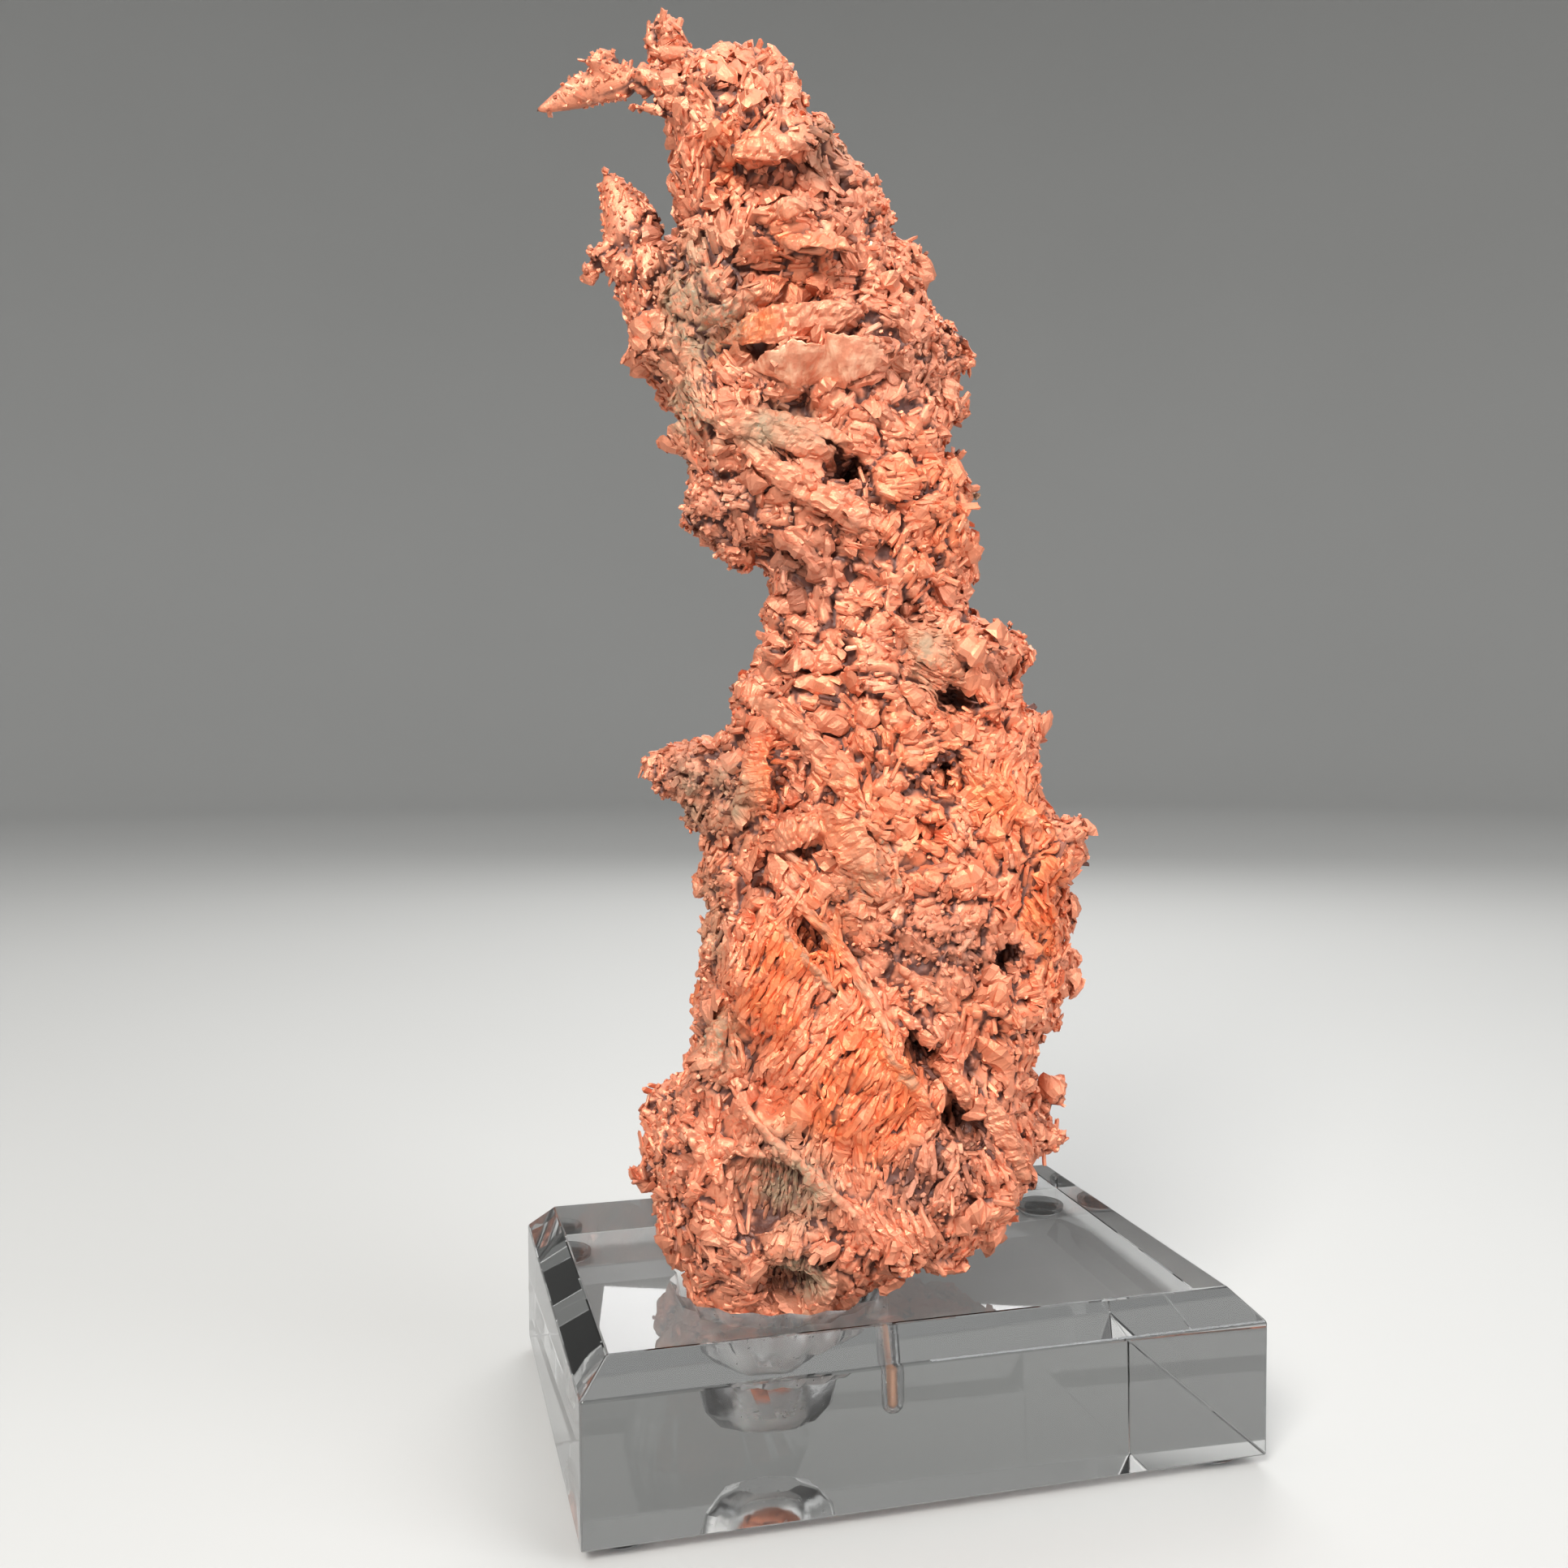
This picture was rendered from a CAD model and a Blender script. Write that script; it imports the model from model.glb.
# %% [markdown]
# # Native copper on a clear block
#
# The real object is a piece of copper that grew in the ground as thousands of small leaflets
# on a branching trunk. It stands in a pocket that is milled into a block of clear acrylic.
#
# The solid parts are already made and packed, and this script dresses them. Everything is
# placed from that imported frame, so a piece made here lies where the solid one lies.

# %% Load the frame
import math

import bmesh
import bpy
import numpy as np
from mathutils import Matrix, Vector, noise
from mathutils.bvhtree import BVHTree
from mathutils.kdtree import KDTree


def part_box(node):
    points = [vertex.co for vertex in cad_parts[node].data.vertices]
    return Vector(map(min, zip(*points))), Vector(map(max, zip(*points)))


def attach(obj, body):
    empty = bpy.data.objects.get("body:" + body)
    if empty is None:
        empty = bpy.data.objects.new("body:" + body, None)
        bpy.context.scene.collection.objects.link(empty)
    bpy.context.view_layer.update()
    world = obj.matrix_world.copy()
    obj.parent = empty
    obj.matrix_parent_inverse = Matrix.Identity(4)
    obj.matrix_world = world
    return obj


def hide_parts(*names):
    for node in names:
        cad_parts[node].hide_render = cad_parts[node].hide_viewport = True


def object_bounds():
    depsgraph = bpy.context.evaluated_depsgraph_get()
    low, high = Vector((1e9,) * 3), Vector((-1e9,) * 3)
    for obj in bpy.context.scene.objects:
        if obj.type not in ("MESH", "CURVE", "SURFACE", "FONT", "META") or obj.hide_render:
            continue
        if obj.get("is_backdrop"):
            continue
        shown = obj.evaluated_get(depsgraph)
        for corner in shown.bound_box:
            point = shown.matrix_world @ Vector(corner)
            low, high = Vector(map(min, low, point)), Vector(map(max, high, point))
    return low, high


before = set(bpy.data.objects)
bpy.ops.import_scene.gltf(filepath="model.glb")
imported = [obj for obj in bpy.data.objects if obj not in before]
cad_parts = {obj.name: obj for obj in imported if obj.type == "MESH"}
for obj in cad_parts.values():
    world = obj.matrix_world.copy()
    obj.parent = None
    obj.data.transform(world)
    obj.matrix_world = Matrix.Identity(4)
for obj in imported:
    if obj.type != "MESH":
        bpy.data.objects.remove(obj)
cad_low, cad_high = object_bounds()
print("frame box", [round(x, 4) for x in cad_low], [round(x, 4) for x in cad_high])


def in_scene(name, data):
    """An object that shows the data, linked to the scene."""
    made = bpy.data.objects.new(name, data)
    bpy.context.scene.collection.objects.link(made)
    return made


# %% [markdown]
# ## Units and the copper's own frame
#
# Blender counts in metres, but a crystal is easier to think of in millimetres. The copper is
# also turned a little on its block. So its surface is worked out in a frame of its own: u to
# the right, v to the back and z up, in millimetres. One matrix brings it into the world.

# %% The specimen frame
MM = 0.001
COPPER_PLACE = Vector((-8.0, -6.0, 1.8))
COPPER_TURN = math.radians(-14.7)
TO_WORLD = (
    Matrix.Translation(COPPER_PLACE * MM)
    @ Matrix.Rotation(COPPER_TURN, 4, "Z")
    @ Matrix.Scale(MM, 4)
)
LEAN_START = (24.0, -5.0)
LEAN_SLOPE = 0.042


def world_points(points):
    """An array of specimen points in millimetres, as world points in metres."""
    turn = np.array(TO_WORLD.to_3x3())
    return points @ turn.T + np.array(TO_WORLD.translation)


def middle_depth(z):
    """How far back the leaning middle line stands at a height."""
    return LEAN_START[1] + LEAN_SLOPE * (z - LEAN_START[0])


# %% [markdown]
# ## Camera
#
# The camera stands where the photographer's did: close, a little above the middle of the
# copper and off to its left, looking almost level. A camera looks along its own -Z, so a turn
# of 90 degrees about X makes it look along +Y before it is swung round.

# %% Camera
CAMERA_PLACE = Vector((-73.11, -229.31, 109.72))
CAMERA_AZIMUTH = math.radians(-14.712)
CAMERA_DOWN = math.radians(2.497)
CAMERA_ROLL = math.radians(-0.266)
SENSOR_WIDTH = 36.0
FOCAL_SHARE = 1880.13 / 1932.0

camera = in_scene("camera", bpy.data.cameras.new("camera"))
camera.data.sensor_width = SENSOR_WIDTH
camera.data.lens = SENSOR_WIDTH * FOCAL_SHARE
camera.data.clip_start = 0.01
camera.matrix_world = (
    Matrix.Translation(CAMERA_PLACE * MM)
    @ Matrix.Rotation(CAMERA_AZIMUTH, 4, "Z")
    @ Matrix.Rotation(math.pi / 2 - CAMERA_DOWN, 4, "X")
    @ Matrix.Rotation(CAMERA_ROLL, 4, "Z")
)
bpy.context.scene.camera = camera
print("lens", round(camera.data.lens, 2), "mm")

# %% [markdown]
# ## Shader sums
#
# A material is a graph of nodes, and a sum in it takes a Math node for every sign. The class
# Wire stands for one socket, and writing wire * 2 + 1 adds the nodes. Recipe holds the graph
# and has one method that adds any node: its settings go in first, and then its inputs.


# %% Wire and Recipe
def sum_method(operation, swapped=False):
    """A method for one operator, with the wire on the left, or on the right if swapped."""

    def method(self, other):
        values = (other, self) if swapped else (self, other)
        return self.sum(operation, *values)

    return method


class Wire:
    """An output socket that can be used in sums."""

    __add__ = sum_method("ADD")
    __radd__ = sum_method("ADD", swapped=True)
    __sub__ = sum_method("SUBTRACT")
    __rsub__ = sum_method("SUBTRACT", swapped=True)
    __mul__ = sum_method("MULTIPLY")
    __rmul__ = sum_method("MULTIPLY", swapped=True)
    __lt__ = sum_method("LESS_THAN")
    __gt__ = sum_method("GREATER_THAN")

    def __init__(self, recipe, socket):
        self.recipe = recipe
        self.socket = socket

    def sum(self, operation, *values, clamp=False):
        settings = {"operation": operation, "use_clamp": clamp}
        return self.recipe.node("ShaderNodeMath", settings, *values)

    def clamped(self):
        return self.sum("ADD", self, 0.0, clamp=True)

    def size(self):
        return self.sum("ABSOLUTE", self)


class Recipe:
    """The node graph of one material."""

    def __init__(self, name):
        self.material = bpy.data.materials.new(name)
        self.material.use_nodes = True
        self.tree = self.material.node_tree
        self.shader = self.tree.nodes["Principled BSDF"]

    def feed(self, socket, value):
        if isinstance(value, Wire):
            self.tree.links.new(value.socket, socket)
        else:
            socket.default_value = value

    def node(self, kind, settings, *values, output=0, **named):
        made = self.tree.nodes.new(kind)
        for key, value in settings.items():
            setattr(made, key, value)
        for socket, value in zip(made.inputs, values):
            self.feed(socket, value)
        for key, value in named.items():
            self.feed(made.inputs[key.replace("_", " ")], value)
        return Wire(self, made.outputs[output])

    def mix(self, share, first, second):
        """Blend two colours, given as wires or as (red, green, blue)."""
        made = self.tree.nodes.new("ShaderNodeMix")
        made.data_type = "RGBA"
        for index, value in ((0, share), (6, first), (7, second)):
            self.feed(made.inputs[index], (*value, 1.0) if isinstance(value, tuple) else value)
        return Wire(self, made.outputs[2])

    def split(self, attribute):
        """Red, green and blue of a colour attribute, as three wires."""
        colour = self.node("ShaderNodeAttribute", {"attribute_name": attribute})
        parts = self.node("ShaderNodeSeparateColor", {}, colour)
        return [Wire(self, socket) for socket in parts.socket.node.outputs]

    def place(self):
        return self.node("ShaderNodeTexCoord", {}, output=3)

    def grain(self, scale, detail=2.0, roughness=0.5):
        """Noise from 0 to 1, in waves of about 1 / scale metres."""
        return self.node("ShaderNodeTexNoise", {}, Vector=self.place(), Scale=scale, Detail=detail,
                         Roughness=roughness)

    def band(self, wire, low, high):
        """0 below low, 1 above high and a smooth step between."""
        settings = {"interpolation_type": "SMOOTHSTEP"}
        return self.node("ShaderNodeMapRange", settings, wire, low, high, 0.0, 1.0)

    def bump(self, height, strength, distance):
        return self.node("ShaderNodeBump", {}, Height=height, Strength=strength, Distance=distance)

    def finish(self, **sockets):
        for key, value in sockets.items():
            self.feed(self.shader.inputs[key.replace("_", " ")], value)
        return self.material


print("shader helpers ready")

# %% [markdown]
# ## Turned shapes
#
# The floor, the bumpers and the rod are all round about an upright axis. Each is drawn as a
# profile of radius and height, and a spin of a full turn makes its skin. The ends of the spin
# meet, so the seam is merged, and the normals are turned outwards afterwards.

# %% Turned meshes
SEAM = 1e-5
SHARP_ANGLE = math.radians(40)


def finished_mesh(name, bm):
    mesh = bpy.data.meshes.new(name)
    bm.to_mesh(mesh)
    bm.free()
    return mesh


def turned_mesh(name, profile, steps, place=(0.0, 0.0)):
    """Spin a profile of (radius, height) in metres about an upright axis at a place."""
    bm = bmesh.new()
    verts = [bm.verts.new((radius, 0, height)) for radius, height in profile]
    edges = [bm.edges.new(pair) for pair in zip(verts, verts[1:])]
    bmesh.ops.spin(bm, geom=verts + edges, axis=(0, 0, 1), cent=(0, 0, 0), angle=2 * math.pi,
                   steps=steps, use_merge=True, use_duplicate=False)
    bmesh.ops.remove_doubles(bm, verts=bm.verts, dist=SEAM)
    bmesh.ops.recalc_face_normals(bm, faces=bm.faces)
    bmesh.ops.translate(bm, vec=(place[0], place[1], 0), verts=bm.verts)
    mesh = finished_mesh(name, bm)
    mesh.shade_smooth()
    mesh.set_sharp_from_angle(angle=SHARP_ANGLE)
    return mesh


def quarter_turn(steps):
    """Sine and 1 - cosine at even steps from 0 to 90 degrees, to round a corner with."""
    angles = [math.pi / 2 * k / steps for k in range(steps + 1)]
    return [(math.sin(angle), 1 - math.cos(angle)) for angle in angles]


print("turned shapes ready")

# %% [markdown]
# ## Floor, light and background
#
# A plain pale floor that sweeps up into a wall all round leaves no horizon line, like the paper
# sweep of a product photographer. Large soft lamps show the relief without a hard shadow.

# %% Floor
FLOOR_RADIUS = 1.7
SWEEP_RADIUS = 0.9
WALL_HEIGHT = 3.2
SWEEP_STEPS = 16
FLOOR_SIDES = 96
PALE = (0.43, 0.43, 0.42)
PALE_SHADE = (0.41, 0.41, 0.40)

profile = [(0.0, 0.0)]
for out, up in quarter_turn(SWEEP_STEPS):
    profile.append((FLOOR_RADIUS + SWEEP_RADIUS * out, SWEEP_RADIUS * up))
profile.append((FLOOR_RADIUS + SWEEP_RADIUS, WALL_HEIGHT))
floor = in_scene("floor", turned_mesh("floor", profile, FLOOR_SIDES))
floor_recipe = Recipe("pale floor")
floor_tone = floor_recipe.mix(floor_recipe.grain(3.0), PALE, PALE_SHADE)
floor.data.materials.append(floor_recipe.finish(Base_Color=floor_tone, Roughness=0.6))
floor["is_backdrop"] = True
print("floor", 2 * FLOOR_RADIUS, "m across")

# %% [markdown]
# The lamps are squares that glow, each aimed at the middle of the copper. They don't show
# through clear things, or their bright shapes would hang in the block like white cards.

# %% Lamps and world
AIM = Vector((0.0, 0.0, 0.14))
LAMPS = [
    ("key", (-0.42, -0.58, 0.62), 0.30, 11.0, (1.0, 0.98, 0.95)),
    ("fill", (0.50, -0.55, 0.42), 0.50, 5.0, (0.95, 0.97, 1.0)),
    ("back", (0.25, 0.60, 0.55), 0.50, 3.0, (1.0, 1.0, 1.0)),
    ("top", (0.0, 0.0, 1.7), 2.2, 20.0, (1.0, 1.0, 1.0)),
]
WORLD_TONE = (0.90, 0.91, 0.92, 1.0)
WORLD_STRENGTH = 0.58

for name, place, side, power, colour in LAMPS:
    lamp = bpy.data.lights.new(name, "AREA")
    lamp.size = side
    lamp.energy = power
    lamp.color = colour
    holder = in_scene(name, lamp)
    holder.location = place
    holder.rotation_euler = (AIM - holder.location).to_track_quat("-Z", "Y").to_euler()
    holder.visible_transmission = False

world = bpy.data.worlds.new("studio")
world.use_nodes = True
background = world.node_tree.nodes["Background"]
background.inputs["Color"].default_value = WORLD_TONE
background.inputs["Strength"].default_value = WORLD_STRENGTH
bpy.context.scene.world = world
bpy.context.scene.view_settings.view_transform = "Standard"
print(len(LAMPS), "lamps")

# %% [markdown]
# ## The way the crystals run
#
# Copper grows in parallel leaflets, and each area of the specimen has its own direction. A
# short list says which way the grain runs at places on the front, in degrees from level. In
# between, the nearest places are blended. A grain has no head or tail, so the angles are
# doubled before they are averaged and halved afterwards.

# %% Grain directions
GRAIN = np.array([
    (-18, 208, 120), (-8, 203, 60), (-16, 192, 80), (0, 192, 130), (-30, 182, 100),
    (-14, 178, 60), (2, 176, 15), (12, 170, 110), (-20, 160, 115), (4, 158, 8),
    (18, 160, 40), (-16, 148, 120), (8, 148, 20), (-15, 138, 140), (0, 138, 130),
    (18, 138, 25), (10, 128, 15), (-2, 120, 150), (22, 118, 150), (8, 112, 130),
    (-12, 104, 10), (28, 104, 25), (14, 96, 130), (0, 95, 110), (26, 94, 75),
    (36, 88, 15), (-18, 86, 45), (14, 80, 5), (30, 76, 90), (-8, 72, 65), (14, 70, 145),
    (34, 66, 30), (-18, 62, 75), (2, 58, 62), (26, 56, 120), (-22, 48, 110),
    (12, 46, 70), (-8, 40, 82), (28, 42, 125), (8, 34, 130), (-20, 30, 130), (22, 30, 20),
], float)
BACK_SHIFT = 9.0


def front_share(points):
    """1 on the front, 0 on the back, with a soft change along the sides."""
    offset = points[:, 1] - middle_depth(points[:, 2])
    return np.clip(0.5 - offset / 6.0, 0.0, 1.0)


def chart(points):
    """Where to look in the lists of the front. The back borrows them, mirrored and shifted."""
    front = front_share(points) > 0.5
    u = np.where(front, points[:, 0], 12.0 - points[:, 0])
    z = np.where(front, points[:, 2], points[:, 2] + BACK_SHIFT)
    return u, z, front


def grain_angle(points):
    """The way the grain runs at each point, in radians from level."""
    u, z, front = chart(points)
    far = (u[:, None] - GRAIN[:, 0]) ** 2 + (z[:, None] - GRAIN[:, 1]) ** 2
    weight = (far + 9.0) ** -1.5
    doubled = np.radians(2 * GRAIN[:, 2])
    angle = np.arctan2(weight @ np.sin(doubled), weight @ np.cos(doubled)) / 2
    return np.where(front, angle, math.pi - angle)


def unit(vectors):
    """Vectors of length 1 that point the same way."""
    return vectors / np.maximum(np.linalg.norm(vectors, axis=-1, keepdims=True), 1e-9)


def surface_axes(normals):
    """For each normal, a level direction along the surface and the direction up it."""
    across = np.stack([-normals[:, 1], normals[:, 0], np.zeros(len(normals))], 1)
    flat = np.linalg.norm(across, axis=1) < 0.2
    across[flat] = (1.0, 0.0, 0.0)
    across = unit(across)
    return across, unit(np.cross(normals, across))


def grain_vectors(points, normals, spread=0.0):
    """Directions along the grain and along the surface, turned by the spread."""
    across, rise = surface_axes(normals)
    angle = grain_angle(points) + spread
    return across * np.cos(angle)[:, None] + rise * np.sin(angle)[:, None]


print(len(GRAIN), "grain directions")

# %% [markdown]
# ## Areas of the surface
#
# The copper isn't one colour or one texture. Each area is an ellipse with soft edges. Its row
# gives the centre across and up, half the width and half the height, the turn in degrees and
# how strong it is at its centre. Green-grey patina sits in sheltered places, brown crumbly
# copper in hollows, and the newest leaflets are a clear orange.

# %% Areas
PATINA = [
    (-18.5, 166.5, 8, 12, 0, 1), (-19.5, 153, 4.5, 9, 10, 0.8), (-6.5, 43, 7.5, 8, 0, 0.9),
    (-4.5, 29.5, 5.5, 5, -20, 0.9), (-7, 149, 9, 4.5, -10, 0.75), (15, 115.5, 5, 6.5, 10, 0.7),
    (-16, 96.5, 8, 8, 0, 0.6), (-17.5, 78, 3.5, 9, 0, 0.6), (-16, 60.5, 3.5, 6.5, -18, 0.8),
    (5, 85, 5, 9, -30, 0.45), (2, 191, 4, 8, -25, 0.4),
]
BROWN = [
    (15, 76, 12, 7.5, -10, 0.5), (14, 44, 7, 6, 0, 0.45), (-3, 129, 6, 6, 0, 0.45),
    (3, 188, 6, 13, -20, 0.45), (-15, 138, 7, 6, 0, 0.45), (-20, 98, 9, 7, 0, 0.5),
    (12, 160, 7, 8, 0, 0.3), (-12, 30, 9, 6, 0, 0.3), (-6.5, 43, 8, 8, 0, 0.4),
    (-4.5, 29.5, 6, 5, -20, 0.5),
]
BRIGHT = [
    (-5, 72, 9, 15, -30, 0.85), (4, 56, 13, 12, 0, 0.85), (25, 94, 9, 9, 0, 0.85),
    (31, 80, 6, 14, 0, 0.7), (15, 137, 9, 13, 0, 0.45), (-9, 99, 4.5, 7, 0, 0.8),
    (-12, 162, 8, 3, 27, 0.8), (-5, 172, 8, 6, 0, 0.45), (3, 102, 7, 8, 20, 0.45),
    (-14, 190, 6, 9, 0, 0.4), (12, 88, 26, 34, 0, 0.4),
]
CRUMB = [
    (-29, 180, 7, 12, 0, 1), (18, 162, 7, 9, 0, 1), (-22, 97, 10, 8, 0, 1),
    (-17, 76, 5, 14, 0, 0.9), (-16, 137, 7, 7, 0, 1), (15, 76, 12, 7, -10, 1),
    (9, 180, 8, 14, -20, 0.7), (16, 42, 9, 8, 0, 0.8), (-24, 42, 6, 12, 0, 0.8),
    (-34, 203, 12, 6, 0, 0.8), (35, 49, 6, 6, 0, 1),
]


def ellipse_strength(areas, u, z):
    """How strongly places across and up lie in any of the areas, from 0 to 1."""
    strength = np.zeros(len(u))
    for centre_u, centre_z, wide, high, degrees, amount in areas:
        turn = math.radians(degrees)
        du = (u - centre_u) * math.cos(turn) + (z - centre_z) * math.sin(turn)
        dz = (z - centre_z) * math.cos(turn) - (u - centre_u) * math.sin(turn)
        inside = np.clip(1.6 - 1.3 * np.hypot(du / wide, dz / high), 0.0, 1.0)
        strength = np.maximum(strength, amount * inside)
    return strength


def area_strength(areas, points):
    """The same for points of the surface, where the back borrows the front's areas."""
    u, z, _ = chart(points)
    return ellipse_strength(areas, u, z)


print("areas:", len(PATINA), "patina,", len(BROWN), "brown,", len(BRIGHT), "bright,", len(CRUMB), "crumbly")

# %% [markdown]
# ## Skins round paths
#
# Spurs, ribs, flakes and strands are all skins: rings of points round a path. The paths are
# arrays, so a thousand strands are made at once.

# %% Skins round paths
def soften_paths(paths, rounds):
    """Move each inner point towards its two neighbours, a number of times."""
    for _ in range(rounds):
        paths = paths.copy()
        paths[:, 1:-1] = (paths[:, :-2] + 2 * paths[:, 1:-1] + paths[:, 2:]) / 4
    return paths


def skin_paths(paths, tops, widths, heights, lift, sides):
    """Rings of points round each path, the height share of each point, and the triangles."""
    count, rings = paths.shape[:2]
    across = unit(np.cross(unit(np.gradient(paths, axis=1)), tops))
    angle = np.arange(sides) * 2 * math.pi / sides
    ring = (
        (paths + lift[..., None] * tops)[:, :, None]
        + across[:, :, None] * (np.cos(angle) * widths[..., None] / 2)[..., None]
        + tops[:, :, None] * (np.sin(angle) * heights[..., None] / 2)[..., None]
    )
    share = np.broadcast_to((np.sin(angle) + 1) / 2, ring.shape[:3])
    faces = []
    for k in range(rings - 1):
        for j in range(sides):
            a, b = k * sides + j, k * sides + (j + 1) % sides
            faces += [(a, b, b + sides), (a, b + sides, a + sides)]
    for k in (0, rings - 1):
        for j in range(1, sides - 1):
            cap = (k * sides, k * sides + j + 1, k * sides + j)
            faces.append(cap if k == 0 else cap[::-1])
    faces = np.array(faces)[None] + (np.arange(count) * rings * sides)[:, None, None]
    return ring.reshape(count, -1, 3), share.reshape(count, -1), faces


def even_steps(line, count):
    """Distances at even steps along listed points, and each column's value there."""
    line = np.array(line, float)
    run = np.concatenate([[0], np.cumsum(np.linalg.norm(np.diff(line[:, :-1], axis=0), axis=1))])
    spots = np.linspace(0, run[-1], count)
    return spots, [np.interp(spots, run, column) for column in line.T]


print("path helpers ready")

# %% [markdown]
# The spurs at the head stand free and narrow to a tip. They are listed by places across, back
# and up, and by how wide they are there. They go into the body before it is rebuilt, so they
# get the same crumbly surface.

# %% Spurs at the head
SPURS = [
    ("claw", (-20, 1, 202.3, 7), (-27, 1, 203.6, 5.2), (-32, 2, 204, 5.8), (-37.5, 3, 202.4, 5.2),
     (-41, 3, 200.8, 3), (-43.7, 3, 199.5, 1.5)),
    ("claw prong", (-29, 1, 204.5, 4), (-32.5, 0, 206.6, 3.4), (-36, -1, 205.5, 1.2)),
    ("spike", (-20, -2, 197.6, 5.5), (-25.5, -2, 198.4, 3.2), (-29.8, -2, 198.4, 1.2)),
    ("horn", (-24, -1, 171, 12), (-28, -1, 176.5, 10.4), (-29.2, -1, 182.5, 8.2),
     (-30.8, 0, 186.5, 6.2), (-33.4, 0, 190.6, 1.2)),
    ("ledge tip", (-28, -2, 175, 6), (-32, -2, 176.8, 4.4), (-35.4, -2, 178, 1.4)),
]
SPUR_RINGS = 30
SPUR_SIDES = 16
SPUR_DEPTH = 0.8
SLIM = [(-37.5, 202.5, 15, 8, 0, 1), (-31, 184, 8, 10, 15, 1)]
SLIM_DEPTH = 0.3
SLIM_FADE = 4.0


def slim_share(points):
    """1 on the thin spurs, on the front and the back alike, and 0 away from them."""
    return ellipse_strength(SLIM, points[:, 0], points[:, 2])


def spur_skin(line):
    """Points and triangles of a spur."""
    _, (u, v, z, wide) = even_steps(line, SPUR_RINGS)
    path = soften_paths(np.stack([u, v, z], 1)[None], 4)
    tops = np.broadcast_to((0.0, -1.0, 0.0), path.shape)
    flat = np.zeros((1, SPUR_RINGS))
    rings, _, faces = skin_paths(path, tops, wide[None], SPUR_DEPTH * wide[None], flat, SPUR_SIDES)
    return rings[0], faces[0]


print(len(SPURS), "spurs at the head")

# %% [markdown]
# ## The body of the copper
#
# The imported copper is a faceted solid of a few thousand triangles. A copy of it is merged into
# one skin and rebuilt by a voxel Remesh into even, small faces. A light smoothing takes the
# facets off, and then each point moves along its normal to make ridges that follow the grain.

# %% Remesh the body
BODY_VOXEL = 0.60
BODY_SMOOTHING = 3

bm = bmesh.new()
bm.from_mesh(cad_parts["native_copper"].data)
bmesh.ops.remove_doubles(bm, verts=bm.verts, dist=1e-6)
bmesh.ops.transform(bm, matrix=TO_WORLD.inverted(), verts=bm.verts)
for _, *line in SPURS:
    spur_points, spur_faces = spur_skin(line)
    added = [bm.verts.new(p) for p in spur_points]
    for face in spur_faces:
        bm.faces.new([added[i] for i in face])
rough = in_scene("rough_body", finished_mesh("rough_body", bm))
remesh = rough.modifiers.new("even faces", "REMESH")
remesh.mode = "VOXEL"
remesh.voxel_size = BODY_VOXEL
soften = rough.modifiers.new("soften", "SMOOTH")
soften.iterations = BODY_SMOOTHING
graph = bpy.context.evaluated_depsgraph_get()
body_mesh = bpy.data.meshes.new_from_object(rough.evaluated_get(graph), depsgraph=graph)
bpy.data.objects.remove(rough)
print("body", len(body_mesh.vertices), "points,", len(body_mesh.polygons), "faces")


# %% Read the body as arrays
def read_vectors(mesh, kind):
    """The points or the normals of a mesh as an array."""
    values = np.zeros(3 * len(mesh.vertices), np.float32)
    if kind == "place":
        mesh.vertices.foreach_get("co", values)
    else:
        mesh.vertex_normals.foreach_get("vector", values)
    return values.reshape(-1, 3).astype(float)


body_mesh.calc_loop_triangles()
corners = np.zeros(3 * len(body_mesh.loop_triangles), np.int32)
body_mesh.loop_triangles.foreach_get("vertices", corners)
body_faces = corners.reshape(-1, 3)
body_points = read_vectors(body_mesh, "place")
body_normals = read_vectors(body_mesh, "normal")
print("body has", len(body_faces), "triangles")

# %% [markdown]
# Deep places are darker, and not only because little light gets in: they also keep their dark
# tarnish. Rays sent out from each point say how sheltered it is, as a share of rays that hit
# the copper again.

# %% Sheltered places
RAY_REACH = 9.0
RAY_LIFT = 0.12
RAY_COUNT = 6


def ray_fan(count):
    """Directions spread evenly over a dome, for a normal along +Z."""
    made = []
    for k in range(count):
        height = math.sqrt((k + 0.5) / count)
        turn = k * math.pi * (3 - math.sqrt(5))
        flat = math.sqrt(1 - height * height)
        made.append((flat * math.cos(turn), flat * math.sin(turn), height))
    return made


def make_tree(points):
    return BVHTree.FromPolygons([Vector(p) for p in points], body_faces.tolist())


def sheltered(tree, points, normals):
    """Share of the rays that hit the copper again within reach."""
    hits = np.zeros(len(points))
    across, rise = surface_axes(normals)
    starts = [Vector(p) for p in points + RAY_LIFT * normals]
    for x, y, height in ray_fan(RAY_COUNT):
        ways = unit(x * across + y * rise + height * normals)
        for i, way in enumerate(ways):
            if tree.ray_cast(starts[i], Vector(way), RAY_REACH)[0] is not None:
                hits[i] += 1
    return hits / RAY_COUNT


pit_share = sheltered(make_tree(body_points), body_points, body_normals)
print("sheltered share on average", round(float(pit_share.mean()), 3))

# %% [markdown]
# The copper is built of sheaves: blocks a few millimetres across in which all leaflets are
# parallel, with a dark gap before the next block. Scattered seeds divide space into such
# cells. Each cell gets random numbers of its own, and the difference between the two nearest
# distances falls to 0 at the gap.

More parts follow.
